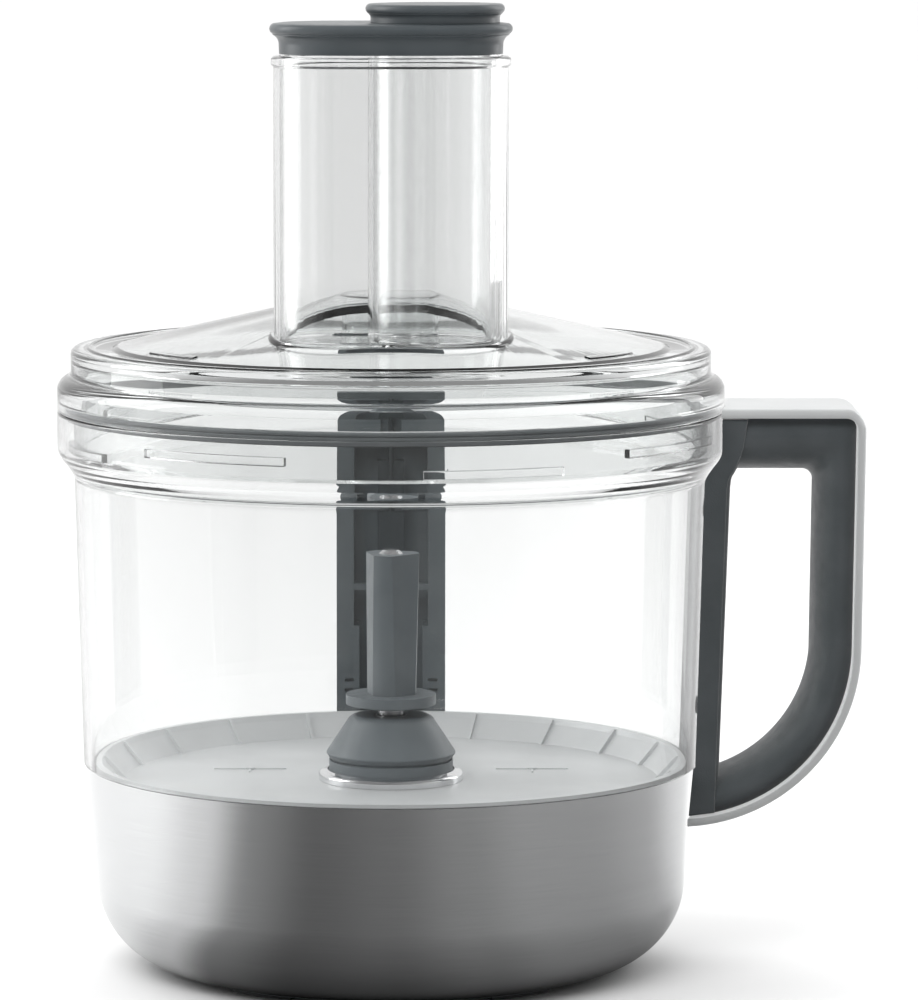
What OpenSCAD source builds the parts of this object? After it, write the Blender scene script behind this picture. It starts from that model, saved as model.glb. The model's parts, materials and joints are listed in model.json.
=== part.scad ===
// Food processor bowl unit: clear bowl and lid on a deep steel skirt, with a side
// handle, a two-part food pusher, a lid interlock and a central drive.
// The origin is on the drive axis at the plane that the feet stand on. The front
// faces -Y, the handle is at +X and the interlock housing is at +Y.

/* [Bowl] */
// Outer radius of the collar and of the lid rim
collar_r = 117.2; // [116:0.1:118]
// Outer radius of the bowl wall just under the collar
wall_top_r = 111.2; // [110.8:0.1:111.4]
// Outer radius of the bowl wall at the skirt
wall_low_r = 108.6; // [108.4:0.1:109]
// Thickness of the clear walls
clear_wall = 2.4; // [2:0.1:2.6]
// Height of the seam between bowl and lid
seam_z = 197.5; // [197:0.1:198]

/* [Skirt] */
// Outer radius of the skirt at its top edge
skirt_r = 107.9; // [107.4:0.1:108.2]
// Height of the skirt's top edge
skirt_z = 73; // [72.5:0.1:73.2]
// Thickness of the skirt's sheet
sheet = 0.9; // [0.7:0.1:1.0]
// Radius of the skirt's rounded bottom corner
skirt_corner_r = 31; // [30:0.5:32]

/* [Floor] */
// Height of the bowl floor
floor_z = 65.5; // [65:0.1:66]
// Number of gussets round the edge of the floor
gussets = 20; // [12:2:24]

/* [Feed tube] */
// Radius of the tube's round ends
tube_r = 25.1; // [24.8:0.1:25.4]
// Half the distance between the centres of the round ends
tube_c = 15; // [14:0.5:16]
// Distance from the drive axis forward to the middle of the tube
tube_y = 52; // [51:0.5:54]
// Height of the tube's rim
tube_z = 323; // [316:1:330]

/* [Handle] */
// Width of the handle from front to back
grip_w = 43; // [41:0.5:45]
// Width of the trim band
trim_w = 46; // [45:0.5:48]
// Thickness of the trim band
trim_t = 3.2; // [2.8:0.1:3.6]
// Height of the top of the handle
handle_z = 199.3; // [199:0.1:200.5]

/* [Drive] */
// Radius of the drive shaft
shaft_r = 4.4; // [4.2:0.1:4.6]
// Radial running clearance
running = 0.05; // [0.03:0.01:0.08]
// Radius of the round socket in the drive coupling
socket_r = 7; // [6.5:0.1:7.2]
// Radius of the round recess in the underside
register_r = 40; // [38:0.5:41]

/* [Hidden] */

$fn = 120;
eps = 0.01;

clear = [0.86, 0.88, 0.89, 0.4];
slate = [0.32, 0.35, 0.36];
grip_grey = [0.24, 0.26, 0.27];
satin = [0.82, 0.83, 0.83];
steel = [0.72, 0.73, 0.74];
rubber = [0.2, 0.21, 0.22];

// Points of an arc in the plane, from angle a0 to a1, in steps of about 10 degrees
function arc(cx, cy, r, a0, a1, n = 8) =
    [for (i = [0:n]) [cx + r * cos(a0 + (a1 - a0) * i / n), cy + r * sin(a0 + (a1 - a0) * i / n)]];

// Points of a smooth S from (r0, z0) to (r1, z1)
function s_curve(r0, z0, r1, z1, n = 8) =
    [for (i = [0:n]) [r0 + (r1 - r0) * (1 - cos(180 * i / n)) / 2, z0 + (z1 - z0) * i / n]];

// A ring of rectangular section
module ring(r_out, r_in, z0, z1) {
    translate([0, 0, z0])
        difference() {
            cylinder(r = r_out, h = z1 - z0);
            translate([0, 0, -1]) cylinder(r = r_in, h = z1 - z0 + 2);
        }
}

// A block of a ring between two angles
module sector(r_out, r_in, z0, z1, a_mid, a_width) {
    rotate([0, 0, a_mid - a_width / 2])
        rotate_extrude(angle = a_width)
            translate([r_in, z0]) square([r_out - r_in, z1 - z0]);
}

// ---- Bowl -------------------------------------------------------------------

lug_mid = -122;
lug_width = 28;
lug_count = 4;
lug_r = 112.4;
lug_z = 188.5;
lug_t = 3;
neck_z0 = 173;
neck_h = 12;
spigot_z = 62;
rod_y = 112.8;
rod_r = 1.1;
rod_top_z = 186;
screw_hole_z = [92, 162];
handle_boss_r = 4;
boss_x = 111.8;

bowl_profile = concat(
    [[105.7, spigot_z], [106.6, skirt_z + 0.2], [wall_low_r, skirt_z + 0.2]],
    s_curve(wall_top_r, neck_z0, collar_r, neck_z0 + neck_h),
    [[collar_r, seam_z - 0.3], [collar_r - 0.3, seam_z]],
    [[collar_r - 2.5, seam_z], [collar_r - 2.5, 183.2], [collar_r - 4.3, 180.8], [109.2, 177.4],
     [wall_top_r - clear_wall, 172], [wall_low_r - clear_wall, skirt_z], [104.65, spigot_z]]);

module handle_boss(z) {
    translate([0, 0, z])
        rotate([0, 90, 0])
            translate([0, 0, wall_low_r - 2]) cylinder(r = handle_boss_r, h = boss_x - wall_low_r + 2);
}

module bowl() {
    color(clear)
        difference() {
            union() {
                rotate_extrude() polygon(bowl_profile);
                for (i = [0:lug_count - 1])
                    sector(collar_r - 2, lug_r, lug_z, lug_z + lug_t, lug_mid + i * 360 / lug_count,
                        lug_width);
                for (z = screw_hole_z)
                    intersection() {
                        handle_boss(z);
                        ring(boss_x + 6, wall_low_r - clear_wall / 2, 60, 200);
                    }
            }
            translate([0, rod_y, neck_z0 - 3]) cylinder(r = rod_r + 0.25, h = 16, $fn = 32);
            for (z = screw_hole_z)
                translate([109.5, 0, z]) rotate([0, 90, 0]) cylinder(r = 1.6, h = 8, $fn = 32);
        }
}

// ---- Floor ------------------------------------------------------------------

floor_low_r = 95.3;
floor_rim_r = 104.4;
hub_hole_r = 24.2;
floor_t = 2.5;
floor_edge_z = 73.9;
floor_boss_r = 80;
floor_boss_count = 4;
seal_r = 102.9;
seal_z = [66.3, 69.1];

floor_profile = [
    [hub_hole_r, floor_z - floor_t], [hub_hole_r, floor_z], [floor_low_r, floor_z], [101.4, 72],
    [102.4, floor_edge_z], [floor_rim_r, floor_edge_z], [floor_rim_r, seal_z[1] + 0.1],
    [seal_r, seal_z[1] + 0.1], [seal_r, seal_z[0] - 0.1], [floor_rim_r, seal_z[0] - 0.1],
    [floor_rim_r, spigot_z - 0.1], [104.9, spigot_z - 0.1], [104.9, 58.5],
    [101.5, 58.5], [101.5, floor_z - floor_t]];

module at_floor_bosses() {
    for (i = [0:floor_boss_count - 1])
        rotate([0, 0, 45 + i * 360 / floor_boss_count])
            translate([floor_boss_r, 0, 0]) children();
}

// One gusset between the floor and its raised rim
module gusset() {
    rotate([90, 0, 0])
        translate([0, 0, -0.6])
            linear_extrude(height = 1.2)
                polygon([[92.8, floor_z - 1], [92.8, floor_z], [93.6, floor_z], [101.2, 73.6],
                    [102.8, 73.6], [102.8, floor_z - 1]]);
}

// Small raised cross left by the moulding of the floor
module floor_mark(x) {
    translate([x, 20, floor_z - eps]) {
        cylinder(r = 1.6, h = 0.7, $fn = 24);
        translate([-13, -0.35, 0]) cube([26, 0.7, 0.4]);
        translate([-0.35, -7, 0]) cube([0.7, 14, 0.4]);
    }
}

module floor_plate() {
    color(satin)
        difference() {
            union() {
                rotate_extrude() polygon(floor_profile);
                for (i = [0:gussets - 1]) rotate([0, 0, i * 360 / gussets + 90]) gusset();
                for (side = [-1, 1]) floor_mark(side * 50.5);
                at_floor_bosses() translate([0, 0, 55.2]) cylinder(r = 4.6, h = 9, $fn = 40);
            }
            at_floor_bosses() translate([0, 0, 55]) cylinder(r = 1.5, h = 8, $fn = 24);
        }
}

module bowl_seal() {
    color(rubber) ring(floor_rim_r + 0.1, seal_r, seal_z[0], seal_z[1]);
}

// ---- Skirt and base ---------------------------------------------------------

taper = 5.14;
corner_cr = 73;
corner_cz = 32;
lip_angle = -79.8;
feet_count = 5;
foot_first = 18;
foot_width = 18.5;
foot_r = [65, 77];
foot_h = 2.5;
plate_z = 1.2;
plate_r = 78.2;
register_wall = 5.5;
register_h = 8.3;
post_r = 55;
deck_z = [52, 55];
rear_screw_x = 13;
rear_screw_z = 50;

// Outer or inner face of the skirt, set in by d, from the lip up to the top edge
function skirt_face(d) = concat(
    arc(corner_cr, corner_cz, skirt_corner_r - d, lip_angle, -taper, 12),
    [[skirt_r - d, skirt_z]]);

module steel_skirt() {
    color(steel)
        difference() {
            rotate_extrude() polygon(concat(skirt_face(0), [for (i = [13:-1:0]) skirt_face(sheet)[i]]));
            at_rear_screws() rotate([90, 0, 0]) translate([0, 0, -4]) cylinder(r = 2.2, h = 10, $fn = 32);
        }
}

module at_rear_screws() {
    for (side = [-1, 1]) translate([side * rear_screw_x, 105, rear_screw_z]) children();
}

module at_posts(r = post_r) {
    for (i = [0:feet_count - 1])
        rotate([0, 0, foot_first + i * 360 / feet_count]) translate([r, 0, 0]) children();
}

module base_housing() {
    color(slate)
        difference() {
            union() {
                ring(12, bush_r, 28.5, 80);
                ring(13, 10.8, 21, 30);
                ring(register_r + register_wall, 10.8, 21, 24);
                ring(register_r + register_wall, register_r + 2, register_h + 0.1, 22);
                ring(98, 10, deck_z[0], deck_z[1]);
                for (i = [0:7])
                    rotate([0, 0, 22.5 + i * 45]) translate([11.5, -1.25, 22]) cube([70, 2.5, 31]);
                at_posts() translate([0, 0, 8.3]) cylinder(r = 5, h = 45, $fn = 40);
                intersection() {
                    at_rear_screws() rotate([90, 0, 0]) translate([0, 0, 1.5])
                        cylinder(r = 5, h = 14, $fn = 40);
                    cylinder(r = 104.4, h = 80);
                }
                for (side = [-1, 1]) translate([side * rear_screw_x - 4, 88, 47]) cube([8, 8, 6]);
            }
            translate([0, 0, 10]) cylinder(r = bush_r, h = 80);
            at_posts() translate([0, 0, 8]) cylinder(r = 1.5, h = 18, $fn = 24);
            at_floor_bosses() translate([0, 0, 50]) cylinder(r = 1.7, h = 8, $fn = 24);
            at_rear_screws() rotate([90, 0, 0]) translate([0, 0, -4]) cylinder(r = 1.5, h = 16, $fn = 24);
        }
}

module base_plate() {
    color(slate)
        difference() {
            union() {
                ring(plate_r, register_r, plate_z, 4.4);
                ring(82, plate_r - 2, 3.6, 5.6);
                ring(register_r + register_wall, register_r, 0, register_h);
                at_posts() translate([0, 0, 2]) cylinder(r = 5.5, h = register_h - 2.1, $fn = 40);
            }
            for (i = [0:feet_count - 1])
                sector(foot_r[1] + 0.1, foot_r[0] - 0.1, 0, foot_h, foot_first + i * 360 / feet_count,
                    foot_width + 0.2);
            at_posts() translate([0, 0, 0]) cylinder(r = 1.8, h = 12, $fn = 24);
            at_posts() translate([0, 0, 0]) cylinder(r = 3.8, h = 4.6, $fn = 32);
        }
}

module feet() {
    color(rubber)
        for (i = [0:feet_count - 1])
            sector(foot_r[1], foot_r[0], 0, foot_h, foot_first + i * 360 / feet_count, foot_width);
}

// A pan-head screw pointing up, with its head's top at z = 0 facing down
module screw(head_r, head_h, shank_r, length) {
    difference() {
        union() {
            cylinder(r = head_r, h = head_h, $fn = 32);
            translate([0, 0, head_h - eps]) cylinder(r = shank_r, h = length, $fn = 24);
        }
        for (a = [0, 90])
            rotate([0, 0, a]) translate([-head_r * 0.6, -0.4, -1]) cube([head_r * 1.2, 0.8, 1.8]);
    }
}

module base_screws() {
    color(steel) at_posts() translate([0, 0, 2.2]) screw(3.5, 2.4, 1.5, 20);
}

module floor_screws() {
    color(steel) at_floor_bosses() translate([0, 0, 49.6]) screw(3.2, 2.4, 1.5, 10);
}

// ---- Hub --------------------------------------------------------------------

hub_r = 21.9;
hub_low_z = 62;
hub_seam_z = 73.4;
hub_top_z = 88.6;
tube_seat_r = 12.1;
seal_seat_r = 9;

module hub_ring() {
    color(satin)
        rotate_extrude()
            polygon(concat(
                [[hub_r + 0.1, hub_low_z], [hub_hole_r - 0.1, hub_low_z], [hub_hole_r - 0.1, floor_z + 0.05],
                [25.7, floor_z + 0.05]],
                arc(24.4, floor_z + 1.6, 1.3, 0, 75, 4),
                [[hub_r + 0.6, 69.2], [hub_r + 0.1, 68.6]]));
}

module hub_base() {
    color(slate)
        rotate_extrude()
            polygon([[tube_seat_r, hub_low_z], [hub_r, hub_low_z], [hub_r, hub_seam_z - 0.8],
                [hub_r - 1, hub_seam_z - 0.8], [hub_r - 1, hub_seam_z - 0.1],
                [tube_seat_r, hub_seam_z - 0.1]]);
}

module hub_cover() {
    color(slate)
        difference() {
            rotate_extrude()
                polygon(concat([[0, hub_seam_z], [hub_r, hub_seam_z]],
                    arc(22.0, 75.0, 0.7, -40, 25, 3),
                    arc(12.6, 85.0, 3.6, 22, 90, 6),
                    [[0, hub_top_z]]));
            translate([0, 0, 70]) cylinder(r = 12.2, h = 11);
            translate([0, 0, 80.9]) cylinder(r = seal_seat_r + 0.05, h = 5.7);
            cylinder(r = shaft_r + 1, h = 100);
        }
}

module shaft_seal() {
    color(rubber)
        difference() {
            translate([0, 0, 81.2]) cylinder(r = seal_seat_r, h = 5.2);
            cylinder(r = shaft_r + running, h = 100);
            translate([0, 0, 82.4]) cylinder(r = 6.6, h = 2.4);
        }
}

// ---- Drive ------------------------------------------------------------------

bush_r = 8;
shaft_low_z = 23.2;
shaft_top_z = 147.5;
pin_z = 94.1;
pin_r = 1.4;
pin_length = 22;
groove_z = [74.4, 75.6];
groove_r = 3.9;

module upper_bush() {
    color([0.72, 0.6, 0.35]) ring(bush_r, shaft_r + running, 62, 74);
}

module lower_bush() {
    color([0.72, 0.6, 0.35])
        union() {
            ring(bush_r, shaft_r + running, 28.4, 40);
            ring(10.5, shaft_r + running, 26.6, 28.4);
        }
}

module drive_shaft() {
    color(steel)
        difference() {
            rotate_extrude()
                polygon([[0, shaft_low_z], [shaft_r, shaft_low_z], [shaft_r, groove_z[0]],
                    [groove_r, groove_z[0]], [groove_r, groove_z[1]], [shaft_r, groove_z[1]],
                    [shaft_r, shaft_top_z - 1.6], [shaft_r - 0.3, shaft_top_z - 1.3], [2.7, shaft_top_z],
                    [0, shaft_top_z]]);
            translate([0, 0, shaft_low_z - 1]) cylinder(r = 2, h = 13, $fn = 32);
            translate([-8, 0, pin_z]) rotate([0, 90, 0]) cylinder(r = pin_r, h = 16, $fn = 32);
        }
}

module circlip() {
    color(steel)
        difference() {
            ring(7.2, groove_r, groove_z[0] + 0.1, groove_z[1] - 0.1);
            translate([-1.4, 0, 74]) cube([2.8, 8, 3]);
        }
}

module drive_pin() {
    color(steel)
        translate([-pin_length / 2, 0, pin_z])
            rotate([0, 90, 0]) cylinder(r = pin_r, h = pin_length, $fn = 32);
}

coupling_r = 13;
coupling_z = 9;
coupling_top_z = 20.4;
coupling_neck_r = 7.4;
socket_top_z = 19;
key_w = 2.6;
key_count = 3;

module drive_coupling() {
    color(slate)
        difference() {
            union() {
                translate([0, 0, coupling_z]) cylinder(r = coupling_r, h = coupling_top_z - coupling_z);
                translate([0, 0, coupling_top_z - 1]) cylinder(r = coupling_neck_r, h = 7.1);
            }
            translate([0, 0, coupling_z - 1]) cylinder(r = socket_r, h = socket_top_z - coupling_z + 1);
            for (i = [0:key_count - 1])
                rotate([0, 0, 30 + i * 360 / key_count])
                    translate([socket_r - 1, -key_w / 2, coupling_z - 1])
                        cube([3.6, key_w, socket_top_z - coupling_z + 1]);
            translate([0, 0, socket_top_z - 1]) cylinder(r = 2.1, h = 12, $fn = 32);
            translate([0, 0, socket_top_z - 1]) cylinder(r = 4.2, h = 3.4, $fn = 32);
            translate([0, 0, shaft_low_z - eps]) cylinder(r = shaft_r, h = 8);
        }
}

module coupling_screw() {
    color(steel) translate([0, 0, socket_top_z + 0.3]) screw(4, 2.1, 2, 12);
}

stem_low_z = 92.5;
stem_flange_z = 96;
stem_top_z = 146.2;
stem_flange_r = 15.9;
stem_low_r = 8.9;
stem_top_r = 9.95;
stem_flat_r = 7.6;
stem_flats = 3;
stem_lean = 9;

// Cutter that leaves one leaning flat on the side of the stem
module stem_flat(a) {
    rotate([0, 0, a])
        translate([stem_flat_r, 0, (stem_flange_z + stem_top_z) / 2])
            rotate([stem_lean, 0, 0])
                translate([0, -40, -60]) cube([20, 80, 120]);
}

module drive_stem() {
    color(slate)
        difference() {
            union() {
                difference() {
                    translate([0, 0, 95]) cylinder(r1 = stem_low_r, r2 = stem_top_r, h = stem_top_z - 95);
                    for (i = [0:stem_flats - 1]) stem_flat(i * 360 / stem_flats - 48);
                }
                ring(10, 2, 91.2, 94);
                translate([0, 0, stem_low_z]) cylinder(r = stem_flange_r, h = stem_flange_z - stem_low_z);
            }
            translate([0, 0, 80]) cylinder(r = shaft_r + running, h = 80);
            translate([-11.4, -1.6, 80]) cube([22.8, 3.2, pin_z + pin_r + 0.2 - 80]);
        }
}

// ---- Handle -----------------------------------------------------------------

// The band's inner edge, seen from the front, from the top of the root round to the bowl
top_z = handle_z - trim_t;
edge_x = 162.4;
sweep_c = [101.2, 115.4];
sweep_r = 60.2;
root_low_x = 113.9;
root_high_x = 117.1;
root_top_x = 124.3;
root_swell = 1.9;
root_low_z = 55.6;
seat_x = 113.4;
band_corner_r = 4;
// The window's upper corners and the centre of the curve along the bar's inner edge
window_inner = [121.3, 172.4];
window_outer = [144.2, 172.6];
window_sweep_c = [99.6, 116];
window_sweep_r = 48.1;
// Layers of the bar: how much narrower than the handle, and how far in from each edge
bar_layers = [[20, 0, 0], [12, 0.8, 0], [7, 2, 0], [4, 3.6, 0], [2, 6, 2.2]];

function band_line(d) = concat(
    [[104, top_z + d]],
    arc(edge_x - band_corner_r, top_z - band_corner_r, band_corner_r + d, 90, 0, 6),
    arc(sweep_c[0], sweep_c[1], sweep_r + d, -1, -89, 16));

// Outline of the finger window, grown by d on the bar's side; the root's edge stands out by n
function window(d, n = 0) = concat(
    arc(window_inner[0] + n + d * 0.4, window_inner[1] + d, 4.2, 170, 90, 4),
    arc(window_outer[0], window_outer[1], 4 + d, 90, 0, 4),
    arc(window_sweep_c[0], window_sweep_c[1], window_sweep_r + d, -5, -73, 12),
    [[root_low_x + n, 76], [root_high_x + n, 171]]);

module handle_solid(w) {
    translate([0, w / 2, 0]) rotate([90, 0, 0]) linear_extrude(height = w) children();
}

// The bowl and skirt, grown by a small gap, that the root of the handle hugs
module bowl_clearance() {
    gap = 0.1;
    rotate_extrude()
        polygon(concat(
            [[0, 0], [104, 0], [104.2, 30], [skirt_r + gap, skirt_z], [wall_low_r + gap, skirt_z + 0.3]],
            s_curve(wall_top_r + gap, neck_z0 - 0.2, collar_r + gap, neck_z0 + neck_h - 0.2),
            [[collar_r + gap, 230], [0, 230]]));
}

// Face of the grip, with its window grown by d and its outer edge drawn in by e
module grip_face(d, e, n) {
    difference() {
        polygon(band_line(-e));
        polygon(window(d, n));
    }
}

// Flat face of the root, which stands a little proud of the bar
module root_face() {
    polygon([
        [103, root_low_z], [103, top_z - 0.4], [root_top_x, top_z - 0.4], [root_top_x - 0.8, 190.4],
        [root_top_x - 1.5, 186], [root_top_x - 2.5, 182.6], [root_top_x - 4.1, 179],
        [root_high_x + 0.2, 174], [root_high_x, 171], [root_low_x, 76],
        [root_low_x - 0.4, root_low_z + 1.3]]);
}

module handle_grip() {
    color(grip_grey)
        difference() {
            union() {
                for (layer = bar_layers)
                    handle_solid(grip_w - layer[0])
                        grip_face(layer[1], layer[2], layer[0] > 10 ? root_swell : 0);
                handle_solid(grip_w) root_face();
            }
            bowl_clearance();
            for (z = screw_hole_z) {
                translate([100, 0, z]) rotate([0, 90, 0])
                    cylinder(r = handle_boss_r + 0.15, h = boss_x + 0.1 - 100, $fn = 40);
                translate([100, 0, z]) rotate([0, 90, 0]) cylinder(r = 1.8, h = 30, $fn = 24);
                translate([seat_x, 0, z]) rotate([0, 90, 0]) cylinder(r = 3.4, h = 14, $fn = 32);
            }
        }
}

module handle_trim() {
    color(satin)
        difference() {
            handle_solid(trim_w)
                polygon(concat(band_line(trim_t), [for (i = [len(band_line(0)) - 1:-1:0]) band_line(0)[i]]));
            bowl_clearance();
        }
}

module handle_screws() {
    color(steel)
        for (z = screw_hole_z)
            translate([seat_x + 2.4, 0, z]) rotate([0, -90, 0]) screw(3.2, 2.4, 1.6, 3.6);
}

// ---- Rear interlock ---------------------------------------------------------

housing_w = 41;
housing_y = 109.2;
housing_back = 127;
housing_low_z = 26;
housing_top_z = 190;
recess_w = 28;
recess_low_w = 23.8;
recess_step_z = 105.4;
rib_z = 119;
guide_r = 1.65;
guide_y = rod_y + 2.8;

// Block with rounded back edges and a sloping foot
module housing_block() {
    back_r = 7;
    side = housing_w / 2;
    intersection() {
        translate([0, 0, housing_low_z])
            linear_extrude(height = housing_top_z - housing_low_z)
                polygon(concat([[-side, housing_y - 4], [side, housing_y - 4]],
                    arc(side - back_r, housing_back - back_r, back_r, 0, 90, 8),
                    arc(back_r - side, housing_back - back_r, back_r, 90, 180, 8)));
        translate([-housing_w, 0, 0])
            rotate([90, 0, 90])
                linear_extrude(height = 2 * housing_w)
                    polygon([[100, housing_low_z], [117, housing_low_z], [housing_back, housing_low_z + 12],
                        [housing_back, housing_top_z - 3], [housing_back - 3, housing_top_z],
                        [100, housing_top_z]]);
    }
}

module rear_housing() {
    color(slate)
        difference() {
            housing_block();
            bowl_clearance();
            difference() {
                union() {
                    translate([-recess_w / 2, 100, recess_step_z])
                        cube([recess_w, 123 - 100, 172 - recess_step_z]);
                    translate([-recess_low_w / 2, 100, housing_low_z + 6])
                        cube([recess_low_w, 123 - 100, recess_step_z - housing_low_z]);
                }
                difference() {
                    translate([-recess_w / 2 - 1, 100, rib_z]) cube([recess_w + 2, 12, 2.3]);
                    translate([-6, 100, rib_z - 1]) cube([12, 30, 5]);
                }
            }
            translate([-4, 100, 170]) cube([8, 16.2, 30]);
            translate([0, guide_y, 20]) cylinder(r = guide_r + 0.05, h = 20, $fn = 32);
            for (side = [-1, 1], z = [81.2, 85])
                translate([side * 15.8 - 1.7, 100, z - 0.6]) cube([3.4, 40, 1.2]);
            at_rear_screws() rotate([-90, 0, 0]) cylinder(r = 1.8, h = 40, $fn = 24);
            at_rear_screws() rotate([-90, 0, 0]) translate([0, 0, 19.6]) cylinder(r = 3.6, h = 10, $fn = 32);
        }
}

module rear_screws() {
    color(steel)
        at_rear_screws()
            translate([0, 22, 0]) rotate([90, 0, 0]) screw(3.4, 2.4, 1.5, 28);
}

module interlock_rod() {
    color(slate)
        union() {
            translate([0, rod_y, 160]) cylinder(r = rod_r, h = rod_top_z - 160, $fn = 32);
            translate([-5, rod_y - 0.6, 56]) cube([10, 5.2, 110]);
            translate([0, guide_y, 27.2]) cylinder(r = guide_r - 0.05, h = 30, $fn = 32);
        }
}

spring_z0 = 32.1;
spring_z1 = 55.9;
spring_turns = 8;
spring_steps = 12;
spring_sides = 8;
coil_r = 2.5;
wire_r = 0.35;

// Point j of ring i along the coil spring
function coil_point(i, j) = let (
        a = i * 360 / spring_steps,
        b = j * 360 / spring_sides,
        z = spring_z0 + wire_r + (spring_z1 - spring_z0 - 2 * wire_r) * i / (spring_turns * spring_steps),
        r = coil_r + wire_r * cos(b))
    [r * cos(a), r * sin(a), z + wire_r * sin(b)];

module interlock_spring() {
    rings = spring_turns * spring_steps;
    points = [for (i = [0:rings], j = [0:spring_sides - 1]) coil_point(i, j)];
    sides = [for (i = [0:rings - 1], j = [0:spring_sides - 1])
        let (k = (j + 1) % spring_sides)
        [i * spring_sides + j, (i + 1) * spring_sides + j, (i + 1) * spring_sides + k, i * spring_sides + k]];
    ends = [[for (j = [0:spring_sides - 1]) j],
        [for (j = [spring_sides - 1:-1:0]) rings * spring_sides + j]];
    color(steel)
        translate([0, guide_y, 0]) polyhedron(points = points, faces = concat(sides, ends));
}

// ---- Lid --------------------------------------------------------------------

rim_z = 204.8;
shoulder_r = 112.4;
ring_top_z = 219.5;
cone_r = 98;
apex_z = 242.3;
cone_slope = (apex_z - ring_top_z) / cone_r;
lid_wall = 2.3;
boss_r = 17.7;
boss_z = 221;
spigot_r = 111.4;
spigot_low_z = 183.5;
// Three plain lugs under the lid's rim, and a cam in place of the fourth
lid_lug_mid = -72;
lid_lug_width = 25;
lid_lug_r = 113.4;
lid_lug_z = 187.3;
cam_mid = 108;
cam_width = 40;
cam_mid_z = 184.7;
cam_slope = 2.46;
flange_w = 1.8;
tube_wall = 1.9;
tube_low_z = 227.5;

lid_profile = concat(
    [[spigot_r - 2.2, spigot_low_z], [spigot_r, spigot_low_z], [spigot_r, 200.6], [114.7, 200.6],
     [114.7, seam_z + 0.1], [collar_r - 0.3, seam_z + 0.1], [collar_r, seam_z + 0.4]],
    arc(shoulder_r, rim_z, collar_r - shoulder_r, 0, 90, 8),
    arc(shoulder_r - 2, ring_top_z - 2, 2, 0, 90, 5),
    [[107.2, ring_top_z], [106.5, ring_top_z + 0.6], [105.5, ring_top_z + 0.6], [104.8, ring_top_z],
     [cone_r, ring_top_z], [boss_r, apex_z - cone_slope * boss_r], [0, apex_z - cone_slope * boss_r]],
    [[0, apex_z - cone_slope * boss_r - lid_wall], [boss_r, apex_z - cone_slope * boss_r - lid_wall],
     [cone_r, ring_top_z - lid_wall], [107.8, ring_top_z - lid_wall], [110, ring_top_z - 4.4],
     [110, 207], [spigot_r - 2.2, 205]]);

// Plan of the feed tube: two round ends joined by straight sides
module stadium(r) {
    polygon(concat(arc(tube_c, -tube_y, r, -90, 90, 24), arc(-tube_c, -tube_y, r, 90, 270, 24)));
}

module stadium_prism(r, z0, z1) {
    translate([0, 0, z0]) linear_extrude(height = z1 - z0) stadium(r);
}

// Solid under the outer face of the cone, raised by up
module under_cone(up) {
    rotate_extrude()
        polygon([[0, 200], [cone_r, 200], [cone_r, ring_top_z + up], [0, apex_z + up]]);
}

// Space above the outer face of the cone, lowered by down
module above_cone(down) {
    rotate_extrude()
        polygon([[0, apex_z - down], [cone_r, ring_top_z - down], [cone_r, 400], [0, 400]]);
}

// Lug with a sloping underside that presses the interlock rod down as the lid turns
module cam() {
    difference() {
        sector(lid_lug_r, spigot_r - 1, 180, lid_lug_z, cam_mid, cam_width);
        rotate([0, 0, cam_mid])
            translate([0, 0, cam_mid_z])
                rotate([-cam_slope, 0, 0]) translate([0, -60, -20]) cube([120, 120, 20]);
    }
}

module cone_mark(a) {
    intersection() {
        sector(94, 91.5, 210, 230, a, 16);
        under_cone(0.7);
        above_cone(1);
    }
}

module lid() {
    color(clear)
        difference() {
            union() {
                rotate_extrude() polygon(lid_profile);
                stadium_prism(tube_r, tube_low_z, tube_z);
                stadium_prism(tube_r + 0.8, tube_z - 3.2, tube_z - 0.6);
                intersection() {
                    stadium_prism(tube_r, 216, 245);
                    above_cone(lid_wall / 2);
                }
                intersection() {
                    stadium_prism(tube_r + flange_w, 216, 245);
                    under_cone(flange_w);
                    above_cone(lid_wall / 2);
                }
                ring(boss_r, boss_r - 2, boss_z, 237.5);
                for (i = [0, 1, 3])
                    sector(lid_lug_r, spigot_r - 1, lid_lug_z - lug_t, lid_lug_z,
                        lid_lug_mid + i * 360 / lug_count, lid_lug_width);
                cam();
                for (a = [-144, -36]) cone_mark(a);
            }
            stadium_prism(tube_r - tube_wall, 190, tube_z + 1);
        }
}

module lid_seal() {
    color(rubber) ring(114.3, 111.8, 195.4, 200.3);
}

// ---- Pushers ----------------------------------------------------------------

pusher_r = 22.9;
pusher_wall = 1.5;
pusher_z = 224.5;
cap_z = tube_z + 0.7;
cap_top_z = cap_z + 10.6;
small_cap_top_z = cap_top_z + 6.4;
cap_rim_r = 26.4;
bore_r = 21.4;
small_r = 21;
small_cap_r = 22;
small_rim_r = 22.6;

module small_axis() {
    translate([tube_c, -tube_y, 0]) children();
}

module pusher_body() {
    color(clear)
        difference() {
            stadium_prism(pusher_r, pusher_z, cap_z + 2);
            difference() {
                stadium_prism(pusher_r - pusher_wall, pusher_z + pusher_wall, cap_z + 3);
                small_axis() translate([0, 0, 200]) cylinder(r = pusher_r, h = 150);
            }
            small_axis() translate([0, 0, 200]) cylinder(r = bore_r, h = 150);
        }
}

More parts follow.
